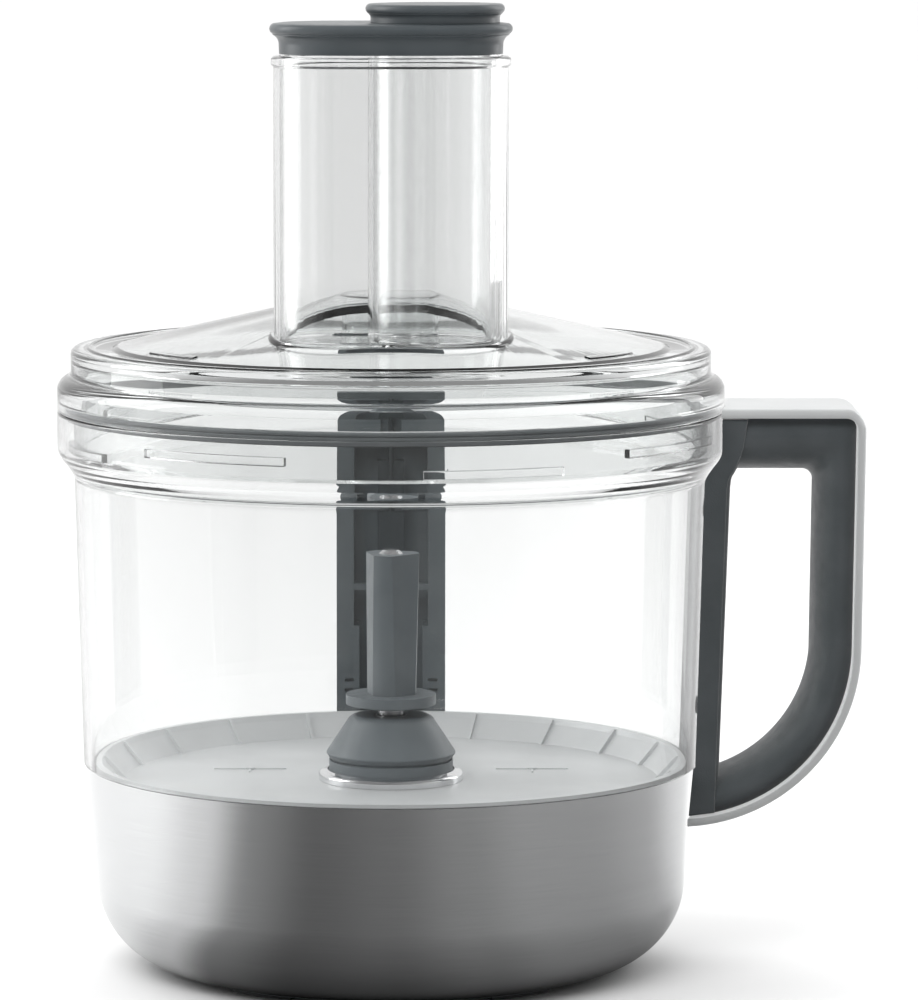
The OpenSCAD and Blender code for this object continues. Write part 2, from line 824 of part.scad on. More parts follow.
module pusher_cap() {
    color(slate)
        difference() {
            union() {
                stadium_prism(pusher_r + 0.2, cap_z, cap_top_z - 4.1);
                stadium_prism(pusher_r + 1.5, cap_top_z - 4.1, cap_top_z - 3.3);
                stadium_prism(pusher_r + 2.7, cap_top_z - 3.3, cap_top_z - 2.5);
                stadium_prism(cap_rim_r, cap_top_z - 2.5, cap_top_z - 0.8);
                stadium_prism(cap_rim_r - 0.5, cap_top_z - 0.8, cap_top_z);
            }
            difference() {
                stadium_prism(pusher_r, cap_z - 1, cap_z + 2);
                stadium_prism(pusher_r - pusher_wall, cap_z - 1, cap_z + 2);
            }
            small_axis() translate([0, 0, cap_z - 1]) cylinder(r = bore_r + 1.6, h = 3);
            small_axis() translate([0, 0, cap_z - 1]) cylinder(r = bore_r, h = 20);
        }
}

module small_pusher_body() {
    color(clear)
        small_axis()
            difference() {
                translate([0, 0, pusher_z]) cylinder(r = small_r, h = cap_top_z - pusher_z);
                translate([0, 0, pusher_z + pusher_wall]) cylinder(r = small_r - pusher_wall, h = 130);
            }
}

module small_pusher_cap() {
    color(slate)
        small_axis()
            rotate_extrude()
                polygon(concat(
                    [[0, cap_top_z - 3], [small_r - pusher_wall, cap_top_z - 3],
                        [small_r - pusher_wall, cap_top_z + 0.1],
                        [small_cap_r, cap_top_z + 0.1], [small_cap_r, small_cap_top_z - 4.1]],
                    [[small_cap_r + 0.4, small_cap_top_z - 3.3], [small_cap_r + 1.3, small_cap_top_z - 2.7]],
                    arc(small_rim_r, small_cap_top_z - 1.4, 1.1, -40, 60, 5),
                    [[small_cap_r, small_cap_top_z], [0, small_cap_top_z]]));
}

bowl();
floor_plate();
bowl_seal();
steel_skirt();
base_housing();
base_plate();
feet();
base_screws();
floor_screws();
hub_ring();
hub_base();
hub_cover();
upper_bush();
lower_bush();
shaft_seal();
drive_shaft();
circlip();
drive_pin();
drive_coupling();
coupling_screw();
drive_stem();
handle_grip();
handle_trim();
handle_screws();
rear_housing();
rear_screws();
interlock_rod();
interlock_spring();
lid_seal();
lid();
pusher_body();
pusher_cap();
small_pusher_body();
small_pusher_cap();
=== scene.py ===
import json
import math

import bmesh
import bpy
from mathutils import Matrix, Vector


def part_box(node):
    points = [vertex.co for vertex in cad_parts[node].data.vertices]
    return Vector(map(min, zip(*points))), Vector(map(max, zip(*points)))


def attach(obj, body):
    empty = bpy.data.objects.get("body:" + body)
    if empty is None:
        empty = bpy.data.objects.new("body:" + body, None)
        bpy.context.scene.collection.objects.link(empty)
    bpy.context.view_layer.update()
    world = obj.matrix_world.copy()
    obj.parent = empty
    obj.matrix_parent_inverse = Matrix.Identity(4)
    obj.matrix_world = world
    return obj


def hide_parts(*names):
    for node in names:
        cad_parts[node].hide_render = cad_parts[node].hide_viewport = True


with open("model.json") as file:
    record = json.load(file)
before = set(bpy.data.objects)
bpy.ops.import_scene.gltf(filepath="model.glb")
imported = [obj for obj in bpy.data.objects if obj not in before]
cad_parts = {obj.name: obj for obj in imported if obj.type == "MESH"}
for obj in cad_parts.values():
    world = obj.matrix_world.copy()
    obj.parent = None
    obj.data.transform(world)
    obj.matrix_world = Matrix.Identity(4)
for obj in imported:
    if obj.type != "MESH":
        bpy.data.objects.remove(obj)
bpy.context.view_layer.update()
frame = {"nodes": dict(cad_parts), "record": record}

# Everything here is in metres in the part's own frame: the drive axis is Z, the front
# faces -Y, the handle is at +X and the interlock housing is at +Y.
MM = 0.001


def mm(*values):
    """Millimetres to metres."""
    return tuple(v * MM for v in values)


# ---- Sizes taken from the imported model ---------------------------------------

BOWL_LOW, BOWL_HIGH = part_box("bowl")
COLLAR_R = BOWL_HIGH.x
SEAM_Z = BOWL_HIGH.z
SPIGOT_Z = BOWL_LOW.z
SKIRT_TOP_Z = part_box("steel_skirt")[1].z
SKIRT_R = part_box("steel_skirt")[1].x
TUBE_TOP_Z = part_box("lid")[1].z
CAP_LOW, CAP_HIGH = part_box("pusher_cap")
SMALL_CAP_TOP_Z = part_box("small_pusher_cap")[1].z
PUSHER_LOW, PUSHER_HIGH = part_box("pusher_body")
SMALL_LOW, SMALL_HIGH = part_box("small_pusher_body")
TUBE_Y = (PUSHER_LOW.y + PUSHER_HIGH.y) / 2
PUSHER_R = (PUSHER_HIGH.y - PUSHER_LOW.y) / 2
TUBE_C = (PUSHER_HIGH.x - PUSHER_LOW.x) / 2 - PUSHER_R
SMALL_X = (SMALL_LOW.x + SMALL_HIGH.x) / 2
SMALL_R = (SMALL_HIGH.x - SMALL_LOW.x) / 2
TRIM_LOW, TRIM_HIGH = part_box("handle_trim")
GRIP_LOW, GRIP_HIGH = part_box("handle_grip")
SEAL_LOW, SEAL_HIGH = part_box("lid_seal")
HUB_TOP_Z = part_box("hub_cover")[1].z
HUB_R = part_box("hub_base")[1].x


# ---- Mesh building -----------------------------------------------------------

# Degrees between the points of a rounded corner, at most
CORNER_STEP = 15
# How far a cutting solid runs on past a face
PAST = 2 * MM


def finish_mesh(name, bm, sharp=35):
    """A smooth-shaded object from bm, with edges over that angle kept sharp."""
    bmesh.ops.remove_doubles(bm, verts=bm.verts, dist=1e-7)
    bmesh.ops.dissolve_degenerate(bm, edges=bm.edges, dist=1e-7)
    bmesh.ops.recalc_face_normals(bm, faces=bm.faces)
    mesh = bpy.data.meshes.new(name)
    bm.to_mesh(mesh)
    bm.free()
    piece = bpy.data.objects.new(name, mesh)
    bpy.context.scene.collection.objects.link(piece)
    smooth(piece, sharp)
    return piece


def smooth(piece, sharp=35):
    """Smooth shading, with edges over that angle kept sharp."""
    for face in piece.data.polygons:
        face.use_smooth = True
    piece.data.set_sharp_from_angle(angle=math.radians(sharp))


def even_shading(piece):
    """Lets the large faces set the normals, so that flat areas stay flat next to fillets."""
    weighted = piece.modifiers.new("even_shading", "WEIGHTED_NORMAL")
    weighted.mode = "FACE_AREA"
    weighted.weight = 80
    weighted.keep_sharp = True


def arc(cx, cz, r, a0, a1, steps=8):
    """Points of an arc in the section's plane, from angle a0 to a1 in degrees."""
    turn = [math.radians(a0 + (a1 - a0) * i / steps) for i in range(steps + 1)]
    return [(cx + r * math.cos(a), cz + r * math.sin(a)) for a in turn]


def s_curve(r0, z0, r1, z1, steps=16):
    """Points of a smooth S from (r0, z0) to (r1, z1)."""
    return [(r0 + (r1 - r0) * (1 - math.cos(math.pi * i / steps)) / 2, z0 + (z1 - z0) * i / steps)
            for i in range(steps + 1)]


def corner_arc(here, back, on, radius):
    """Points of a rounded corner, or none where it is too flat, too folded or too short.

    back and on lead from the corner to the points beside it."""
    if radius <= 0 or back.length < 1e-9 or on.length < 1e-9:
        return []
    reach = 0.48 * min(back.length, on.length)
    back, on = back.normalized(), on.normalized()
    opening = math.acos(max(-1, min(1, back.dot(on))))
    if opening > math.radians(176) or opening < math.radians(4):
        return []
    cut = min(radius / math.tan(opening / 2), reach)
    r = cut * math.tan(opening / 2)
    middle = here + (back + on).normalized() * (r / math.sin(opening / 2))
    first = here + back * cut - middle
    last = here + on * cut - middle
    sweep = math.pi - opening
    turn = 1 if first.x * last.y - first.y * last.x > 0 else -1
    steps = max(2, int(math.degrees(sweep) / CORNER_STEP) + 1)
    angles = [turn * sweep * k / steps for k in range(steps + 1)]
    return [(middle.x + first.x * math.cos(a) - first.y * math.sin(a),
             middle.y + first.x * math.sin(a) + first.y * math.cos(a)) for a in angles]


def rounded(points, radii, closed=True):
    """The outline with its corners rounded, with one radius for each point."""
    count = len(points)
    out = []
    for i, point in enumerate(points):
        is_end = not closed and i in (0, count - 1)
        here = Vector(point)
        back = Vector(points[i - 1]) - here
        on = Vector(points[(i + 1) % count]) - here
        out += corner_arc(here, back, on, 0 if is_end else radii[i]) or [point]
    return out


def circle(r, steps=192, cx=0, cy=0):
    """Points round a circle, which is the plan of most pieces."""
    return [(cx + r * math.cos(2 * math.pi * i / steps), cy + r * math.sin(2 * math.pi * i / steps))
            for i in range(steps)]


def stadium(r, steps=48, straight=8):
    """Plan of the feed tube at radius r: two round ends joined by straight sides."""
    right = [(TUBE_C + r * math.cos(a), TUBE_Y + r * math.sin(a))
             for a in [math.pi * (i / steps - 0.5) for i in range(steps + 1)]]
    left = [(-TUBE_C + r * math.cos(a), TUBE_Y + r * math.sin(a))
            for a in [math.pi * (i / steps + 0.5) for i in range(steps + 1)]]
    top = [(TUBE_C - 2 * TUBE_C * i / straight, TUBE_Y + r) for i in range(1, straight)]
    low = [(-TUBE_C + 2 * TUBE_C * i / straight, TUBE_Y - r) for i in range(1, straight)]
    return right + top + left + low


def small_round(r):
    """Plan of the small pusher at radius r."""
    return circle(r, 96, SMALL_X, TUBE_Y)


def bridge(bm, loops, closed=False):
    """Adds the skin over loops that have the same number of points, with flat ends."""
    rings = [[bm.verts.new(p) for p in loop] for loop in loops]
    pairs = list(zip(rings, rings[1:])) + ([(rings[-1], rings[0])] if closed else [])
    for low, high in pairs:
        for i in range(len(low)):
            k = (i + 1) % len(low)
            bm.faces.new((low[i], low[k], high[k], high[i]))
    if not closed:
        bm.faces.new(rings[0])
        bm.faces.new(rings[-1])


def loft(name, loops, sharp=35, closed=False):
    """An object made of the skin over the loops."""
    bm = bmesh.new()
    bridge(bm, loops, closed)
    return finish_mesh(name, bm, sharp)


def sectors(name, section, middles, width, steps=24):
    """The section turned through part of a circle, about each middle. Angles are in degrees."""
    bm = bmesh.new()
    for middle in middles:
        turns = [math.radians(middle - width / 2 + width * i / steps) for i in range(steps + 1)]
        bridge(bm, [[(r * math.cos(a), r * math.sin(a), z) for r, z in section] for a in turns])
    return finish_mesh(name, bm)


def revolve(name, section, plan=circle, closed=True):
    """The surface that carries the section's points (r, z) round the plan."""
    loops = [[(x, y, z) for x, y in plan(max(r, 0))] for r, z in section]
    return loft(name, loops, closed=closed)


def slab(name, outline, half_width, bevel):
    """A plate seen from the front, with that outline (x, z), and rounded edges."""
    bm = bmesh.new()
    bridge(bm, [[(x, y, z) for x, z in outline] for y in (-half_width, half_width)])
    bmesh.ops.recalc_face_normals(bm, faces=bm.faces)
    rims = [e for e in bm.edges if abs(e.verts[0].co.y - e.verts[1].co.y) < 1e-9]
    bmesh.ops.bevel(bm, geom=rims, offset=bevel, segments=3, profile=0.5, affect="EDGES",
                    clamp_overlap=True)
    return finish_mesh(name, bm)


def combine(base, others, operation="UNION"):
    """Joins, cuts or crosses closed meshes, and leaves one mesh on base."""
    for other in others:
        boolean = base.modifiers.new("cut", "BOOLEAN")
        boolean.operation = operation
        boolean.solver = "EXACT"
        boolean.object = other
        bpy.context.view_layer.update()
        evaluated = base.evaluated_get(bpy.context.evaluated_depsgraph_get())
        mesh = bpy.data.meshes.new_from_object(evaluated)
        base.modifiers.clear()
        base.data = mesh
        bpy.data.objects.remove(other)
    smooth(base)
    return base


def show(piece, body, material, replaced):
    """Puts a finished piece on its body with its material, in place of the replaced nodes."""
    piece.data.materials.clear()
    piece.data.materials.append(material)
    even_shading(piece)
    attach(piece, body)
    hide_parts(*replaced)
    return piece


# ---- Materials ---------------------------------------------------------------

def new_material(name):
    """A material with its nodes, its links and its shader."""
    mat = bpy.data.materials.new(name)
    mat.use_nodes = True
    return mat, mat.node_tree.nodes, mat.node_tree.links, mat.node_tree.nodes["Principled BSDF"]


def plug(links, socket, value):
    """Links the socket to another node's output, or sets it to a constant."""
    if isinstance(value, bpy.types.NodeSocket):
        links.new(value, socket)
    else:
        socket.default_value = value


def coordinates(nodes, kind="Object"):
    """Where a point of the surface is, as a vector."""
    return nodes.new("ShaderNodeTexCoord").outputs[kind]


def mapped(nodes, links, scale):
    """Object coordinates stretched by scale."""
    mapping = nodes.new("ShaderNodeMapping")
    mapping.inputs["Scale"].default_value = scale
    links.new(coordinates(nodes), mapping.inputs["Vector"])
    return mapping.outputs["Vector"]


def split(nodes, links, vector):
    """The vector's X, Y and Z, by name."""
    parts = nodes.new("ShaderNodeSeparateXYZ")
    links.new(vector, parts.inputs[0])
    return parts.outputs


def calculate(nodes, links, operation, first, second):
    """One calculation with two values. The second may be a constant."""
    node = nodes.new("ShaderNodeMath")
    node.operation = operation
    links.new(first, node.inputs[0])
    plug(links, node.inputs[1], second)
    return node.outputs[0]


def noise(nodes, links, vector, scale, detail=3.0):
    """Cloudy noise from 0 to 1."""
    texture = nodes.new("ShaderNodeTexNoise")
    texture.inputs["Scale"].default_value = scale
    texture.inputs["Detail"].default_value = detail
    links.new(vector, texture.inputs["Vector"])
    return texture.outputs["Fac"]


def spread(nodes, links, value, low, high, start=0.3, end=0.7, kind="LINEAR"):
    """Maps a value between start and end to the range from low to high."""
    ramp = nodes.new("ShaderNodeMapRange")
    ramp.interpolation_type = kind
    ramp.inputs["From Min"].default_value = start
    ramp.inputs["From Max"].default_value = end
    ramp.inputs["To Min"].default_value = low
    ramp.inputs["To Max"].default_value = high
    links.new(value, ramp.inputs["Value"])
    return ramp.outputs["Result"]


def blend(nodes, links, kind, factor, first, second):
    """First where the factor is 0, second where it is 1. The kind is RGBA or FLOAT."""
    mix = nodes.new("ShaderNodeMix")
    mix.data_type = kind
    links.new(factor, mix.inputs["Factor"])
    plug(links, mix.inputs["A"], first)
    plug(links, mix.inputs["B"], second)
    return mix.outputs["Result"]


def two_colours(nodes, links, value, first, second):
    """First where the value is 0, second where it is 1."""
    return blend(nodes, links, "RGBA", value, (*first, 1), (*second, 1))


def bumped(nodes, links, shader, value, strength, distance):
    """Makes the surface rise and fall with the value, by up to that distance."""
    bump = nodes.new("ShaderNodeBump")
    bump.inputs["Strength"].default_value = strength
    bump.inputs["Distance"].default_value = distance
    links.new(value, bump.inputs["Height"])
    links.new(bump.outputs["Normal"], shader.inputs["Normal"])


def moulded(name, dark, light, rough, grain, strength=0.25):
    """Moulded plastic: fine spark-eroded grain, faint mottling and uneven gloss."""
    mottle_scale, gloss_scale, grain_depth = 55.0, 240.0, 0.0002
    mat, nodes, links, shader = new_material(name)
    place = mapped(nodes, links, (1, 1, 1))
    mottle = spread(nodes, links, noise(nodes, links, place, mottle_scale), 0, 1)
    links.new(two_colours(nodes, links, mottle, dark, light), shader.inputs["Base Color"])
    gloss = noise(nodes, links, place, gloss_scale, 4.0)
    links.new(spread(nodes, links, gloss, *rough), shader.inputs["Roughness"])
    bumped(nodes, links, shader, noise(nodes, links, place, grain, 2.0), strength, grain_depth)
    return mat


# The lid's greyer low tint, which is painted shade, passes into its high one between these heights
PAINTED_SHADE_HEIGHTS = mm(217, 245)


def clear_plastic(name, tint, painted_shade_tint=None):
    """Clear moulded plastic. Rays from lamps pass straight through, so what is inside is lit.

    With painted_shade_tint, the thick rim below the cone is painted greyer than the thin tube above it:
    painted shade, which the clear plastic itself doesn't have."""
    mat, nodes, links, shader = new_material(name)
    shader.inputs["Base Color"].default_value = (*tint, 1)
    # Painted shade: a greyer tint low on the lid, fading to clear towards the top of the tube
    if painted_shade_tint:
        height = split(nodes, links, coordinates(nodes))["Z"]
        share = spread(nodes, links, height, 0, 1, *PAINTED_SHADE_HEIGHTS)
        links.new(two_colours(nodes, links, share, painted_shade_tint, tint), shader.inputs["Base Color"])
    shader.inputs["Transmission Weight"].default_value = 1.0
    shader.inputs["IOR"].default_value = 1.49
    shader.inputs["Roughness"].default_value = 0.012
    waves, wave_strength, wave_depth = 18.0, 0.06, 0.001
    place = mapped(nodes, links, (1, 1, 0.35))
    bumped(nodes, links, shader, noise(nodes, links, place, waves, 1.0), wave_strength, wave_depth)
    path = nodes.new("ShaderNodeLightPath")
    through = nodes.new("ShaderNodeBsdfTransparent")
    through.inputs["Color"].default_value = (*tint, 1)
    mix = nodes.new("ShaderNodeMixShader")
    links.new(path.outputs["Is Shadow Ray"], mix.inputs[0])
    links.new(shader.outputs["BSDF"], mix.inputs[1])
    links.new(through.outputs["BSDF"], mix.inputs[2])
    links.new(mix.outputs["Shader"], nodes["Material Output"].inputs["Surface"])
    return mat


def shaded(nodes, links, shader, lines, colour, shade):
    """Base colour that varies along the lines between the colour and that share of it."""
    dark = tuple(c * shade for c in colour)
    links.new(two_colours(nodes, links, spread(nodes, links, lines, 0, 1), dark, colour),
              shader.inputs["Base Color"])


def round_brushed(name, colour, rough):
    """Steel brushed round the axis: hair lines that run level round the skirt."""
    fineness, stretch, line_depth = 2600.0, 0.0016, 0.00006
    mat, nodes, links, shader = new_material(name)
    shader.inputs["Metallic"].default_value = 1.0
    shader.inputs["Anisotropic"].default_value = 0.7
    shader.inputs["Anisotropic Rotation"].default_value = 0.25
    tangent = nodes.new("ShaderNodeTangent")
    tangent.direction_type = "RADIAL"
    tangent.axis = "Z"
    links.new(tangent.outputs["Tangent"], shader.inputs["Tangent"])
    parts = split(nodes, links, coordinates(nodes))
    turn = calculate(nodes, links, "ARCTAN2", parts["Y"], parts["X"])
    flat = nodes.new("ShaderNodeCombineXYZ")
    links.new(calculate(nodes, links, "MULTIPLY", turn, stretch), flat.inputs["X"])
    links.new(parts["Z"], flat.inputs["Z"])
    hair = noise(nodes, links, flat.outputs[0], fineness, 3.0)
    broad = noise(nodes, links, flat.outputs[0], fineness * 0.12, 2.0)
    shaded(nodes, links, shader, hair, colour, 0.92)
    links.new(spread(nodes, links, broad, *rough), shader.inputs["Roughness"])
    bumped(nodes, links, shader, hair, 0.06, line_depth)
    return mat


def turned_metal(name, colour, rough):
    """Metal turned on a lathe, with fine level lines."""
    mat, nodes, links, shader = new_material(name)
    shader.inputs["Metallic"].default_value = 1.0
    lines = noise(nodes, links, mapped(nodes, links, (1, 1, 8)), 900.0, 2.0)
    shaded(nodes, links, shader, lines, colour, 0.88)
    links.new(spread(nodes, links, lines, *rough), shader.inputs["Roughness"])
    return mat


def frosted(name, dark, light):
    """Frosted silver-grey plastic with a fine sparkle."""
    cloud_scale, grain_scale, grain_depth = 26.0, 1500.0, 0.0001
    mat, nodes, links, shader = new_material(name)
    place = mapped(nodes, links, (1, 1, 1))
    cloud = spread(nodes, links, noise(nodes, links, place, cloud_scale, 4.0), 0, 1)
    links.new(two_colours(nodes, links, cloud, dark, light), shader.inputs["Base Color"])
    shader.inputs["Metallic"].default_value = 0.35
    grain = noise(nodes, links, place, grain_scale, 2.0)
    links.new(spread(nodes, links, grain, 0.38, 0.55), shader.inputs["Roughness"])
    bumped(nodes, links, shader, grain, 0.2, grain_depth)
    return mat


def satin_paint(name, dark, light):
    """Silver-white satin paint on the handle's band, faintly clouded, with uneven gloss."""
    cloud_scale, gloss_scale = 45.0, 700.0
    mat, nodes, links, shader = new_material(name)
    place = mapped(nodes, links, (1, 1, 1))
    cloud = spread(nodes, links, noise(nodes, links, place, cloud_scale, 2.0), 0, 1)
    links.new(two_colours(nodes, links, cloud, dark, light), shader.inputs["Base Color"])
    shader.inputs["Metallic"].default_value = 0.6
    gloss = noise(nodes, links, place, gloss_scale, 1.0)
    links.new(spread(nodes, links, gloss, 0.335, 0.345), shader.inputs["Roughness"])
    return mat


CLEAR = clear_plastic("clear_plastic", (0.955, 0.96, 0.959))
# The lid's second, greyer tint is painted shade, greyest low on the lid
CLEAR_LID = clear_plastic("clear_lid", (0.985, 0.988, 0.987), (0.86, 0.873, 0.87))
CLEAR_PUSHER = clear_plastic("clear_pusher", (0.993, 0.995, 0.995))
CAP = moulded("cap_plastic", (0.042, 0.05, 0.055), (0.056, 0.064, 0.069), (0.28, 0.36), 2600.0, 0.15)
SLATE = moulded("slate_plastic", (0.094, 0.108, 0.117), (0.12, 0.134, 0.142), (0.4, 0.5), 2600.0)
GRIP = moulded("grip_plastic", (0.036, 0.042, 0.045), (0.05, 0.056, 0.06), (0.42, 0.54), 1900.0, 0.4)
RUBBER = moulded("dark_rubber", (0.03, 0.032, 0.034), (0.045, 0.048, 0.05), (0.6, 0.75), 1400.0)
SEAL_RUBBER = moulded("seal_rubber", (0.1, 0.108, 0.113), (0.13, 0.138, 0.143), (0.5, 0.62), 1400.0)
FLOOR_PLASTIC = frosted("floor_plastic", (0.55, 0.56, 0.565), (0.64, 0.65, 0.655))
SKIRT_STEEL = round_brushed("skirt_steel", (0.78, 0.787, 0.793), (0.2, 0.24))
STEEL = turned_metal("bright_steel", (0.7, 0.7, 0.71), (0.16, 0.26))
CHROME = turned_metal("chrome_ring", (0.82, 0.82, 0.83), (0.06, 0.12))
BUSH = turned_metal("bush_metal", (0.6, 0.45, 0.22), (0.3, 0.4))
TRIM = satin_paint("trim_paint", (0.53, 0.54, 0.542), (0.56, 0.57, 0.572))

SLOT_MATERIALS = {
    "clear_plastic": CLEAR, "slate_plastic": SLATE, "grip_plastic": GRIP, "rubber": RUBBER,
    "seal_rubber": SEAL_RUBBER, "floor_plastic": FLOOR_PLASTIC, "skirt_steel": SKIRT_STEEL,
    "steel": STEEL, "chrome_ring": CHROME, "bush_metal": BUSH, "trim_paint": TRIM,
}


def dress_cad_nodes():
    """Gives every CAD node the material of its slot."""
    for part in frame["record"]["subparts"]:
        node = frame["nodes"][part["node"]]
        node.data.materials.clear()
        node.data.materials.append(SLOT_MATERIALS[part["material_slot"]])


# ---- Bowl --------------------------------------------------------------------

NECK_Z = 173 * MM
NECK_H = 12 * MM
WALL_TOP_R = 111.2 * MM
WALL_LOW_R = 108.6 * MM
COLLAR_WALL = 2.5 * MM
# Where the first bayonet lug is, in degrees round from the handle
FIRST_LUG = -122
LUG_COUNT = 4


def bowl_outside():
    """The spigot, the step over the skirt, the tapered wall, the S-shaped neck and the collar."""
    step_z = SKIRT_TOP_Z + 0.2 * MM
    lip = 0.8 * MM
    line = [(104.65 * MM, SPIGOT_Z), (105.7 * MM, SPIGOT_Z), (106.6 * MM, step_z), (WALL_LOW_R, step_z)]
    line += s_curve(WALL_TOP_R, NECK_Z, COLLAR_R, NECK_Z + NECK_H)
    return line + arc(COLLAR_R - lip, SEAM_Z - lip, lip, 0, 90, 4)


def bowl_inside():
    """The collar's bore, the step at the neck and the inside of the tapered wall."""
    inner_r = COLLAR_R - COLLAR_WALL
    lip = 0.5 * MM
    line = arc(inner_r + lip, SEAM_Z - lip, lip, 90, 180, 3)
    return line + rounded([(inner_r, SEAM_Z - 1 * MM), (inner_r, 183.2 * MM), mm(112.9, 180.8),
                           mm(109.2, 177.4), mm(108.8, 172), (WALL_LOW_R - 2.4 * MM, SKIRT_TOP_Z)],
                          [0, 2 * MM, 2 * MM, 2.5 * MM, 4 * MM, 0], closed=False)


def bowl_lugs():
    """Four bayonet lugs inside the collar, under which the lid's lugs turn."""
    section = rounded([mm(112.4, 188.5), mm(115.6, 188.5), mm(115.6, 191.5), mm(112.4, 191.5)],
                      [0.5 * MM, 0, 0, 0.5 * MM])
    middles = [FIRST_LUG + 360 / LUG_COUNT * i for i in range(LUG_COUNT)]
    return sectors("bowl_lugs", section, middles, 28)


def make_bowl():
    """Clear bowl with its lugs."""
    return combine(revolve("bowl_shell", bowl_outside() + bowl_inside()), [bowl_lugs()])


# ---- Lid ---------------------------------------------------------------------

RIM_Z = 204.8 * MM
SHOULDER_R = 112.4 * MM
RING_TOP_Z = 219.5 * MM
CONE_R = 98 * MM
APEX_Z = 242.3 * MM
CONE_SLOPE = (APEX_Z - RING_TOP_Z) / CONE_R
LID_WALL = 2.3 * MM
BOSS_R = 17.7 * MM
TUBE_R = 25.1 * MM
TUBE_WALL = 1.9 * MM
SPIGOT_R = 111.4 * MM
# Below every part of the lid's cone, for solids that cut it
UNDER_LID_Z = 200 * MM
# The cam's middle, width and slope in degrees, and its heights
CAM_MIDDLE, CAM_WIDTH, CAM_SLOPE = 108, 40, 2.46
CAM_MID_Z, CAM_TOP_Z = mm(184.7, 187.3)


def cone_z(r, lowered=0.0):
    """Height of the cone's outer face at radius r, or of a face that far below it."""
    return APEX_Z - CONE_SLOPE * r - lowered


def make_cam():
    """The fourth lug: a long one with a sloping underside, which presses the interlock's rod."""
    loops = []
    inner_r, outer_r = mm(110.6, 113.4)
    steps = 24
    for i in range(steps + 1):
        a = math.radians(CAM_MIDDLE - CAM_WIDTH / 2 + CAM_WIDTH * i / steps)
        fall = math.tan(math.radians(CAM_SLOPE)) * math.sin(a - math.radians(CAM_MIDDLE))
        points = [(r, CAM_MID_Z - r * fall) for r in (inner_r, outer_r)]
        points += [(outer_r, CAM_TOP_Z), (inner_r, CAM_TOP_Z)]
        loops.append([(r * math.cos(a), r * math.sin(a), z) for r, z in points])
    return loft("lid_cam", loops)


def cone_marks():
    """Two curved dashes that stand up a little from the cone."""
    low, high = 0.8 * MM, 0.6 * MM
    inner_r, outer_r = mm(91.5, 94)
    section = rounded([(inner_r, cone_z(inner_r, low)), (outer_r, cone_z(outer_r, low)),
                       (outer_r, cone_z(outer_r, -high)), (inner_r, cone_z(inner_r, -high))],
                      [0, 0, 0.4 * MM, 0.4 * MM])
    return sectors("cone_marks", section, (-144, -36), 16)


def grip_ticks():
    """Two strips of small raised ticks on the lid's shoulder."""
    section = rounded([mm(112.2, 208.9), mm(112.75, 208.9), mm(112.75, 210.9), mm(112.2, 210.9)],
                      [0, 0.2 * MM, 0.2 * MM, 0])
    spacing = 0.62
    middles = [middle + spacing * k for middle in (-131.5, -48.5) for k in range(-8, 9)]
    return sectors("lid_ticks", section, middles, 0.3, 1)


def lid_lugs():
    """Three bayonet lugs; the cam is the fourth."""
    section = rounded([mm(110.6, 184.3), mm(113.4, 184.3), mm(113.4, 187.3), mm(110.6, 187.3)],
                      [0, 0.5 * MM, 0.5 * MM, 0])
    return sectors("lid_lugs", section, [-72 + 90 * i for i in (0, 1, 3)], 25)


def lid_outside():
    """The lid's outer face: spigot, rim, shoulder, raised ring, bead and cone."""
    ledge_r = 114.7 * MM
    line = [(SPIGOT_R - 2.2 * MM, 184 * MM), (SPIGOT_R - 0.8 * MM, 183.5 * MM),
            (SPIGOT_R, 184.3 * MM), (SPIGOT_R, 200.6 * MM), (ledge_r, 200.6 * MM),
            (ledge_r, SEAM_Z + 0.1 * MM)]
    line += arc(COLLAR_R - 0.6 * MM, SEAM_Z + 0.7 * MM, 0.6 * MM, -90, 0, 4)
    line += arc(SHOULDER_R, RIM_Z, COLLAR_R - SHOULDER_R, 0, 78, 12)
    line += [(SHOULDER_R + 0.3 * MM, RIM_Z + 5.4 * MM), (SHOULDER_R, RIM_Z + 6.6 * MM)]
    line += arc(SHOULDER_R - 2.2 * MM, RING_TOP_Z - 2.2 * MM, 2.2 * MM, 0, 90, 10)
    line += arc(106 * MM, RING_TOP_Z - 0.6 * MM, 1.2 * MM, 30, 150, 6)
    line += rounded([(104.4 * MM, RING_TOP_Z), (CONE_R, RING_TOP_Z - 0.6 * MM),
                     (CONE_R - 2 * MM, cone_z(CONE_R - 2 * MM)), (BOSS_R, cone_z(BOSS_R)),
                     (0, cone_z(BOSS_R))],
                    [0, 1.5 * MM, 1.5 * MM, 3 * MM, 0], closed=False)
    return line


def lid_inside():
    """The lid's inner face, from the middle of the cone down to the spigot."""
    return rounded([(0, cone_z(BOSS_R, LID_WALL)), (BOSS_R, cone_z(BOSS_R, LID_WALL)),
                    (CONE_R - 2 * MM, cone_z(CONE_R - 2 * MM, LID_WALL)),
                    (107.6 * MM, RING_TOP_Z - LID_WALL), (110 * MM, RING_TOP_Z - 4.4 * MM),
                    (110 * MM, 207 * MM), (SPIGOT_R - 2.2 * MM, 205 * MM)],
                   [0, 3 * MM, 3 * MM, 1.5 * MM, 2 * MM, 1 * MM, 0], closed=False)


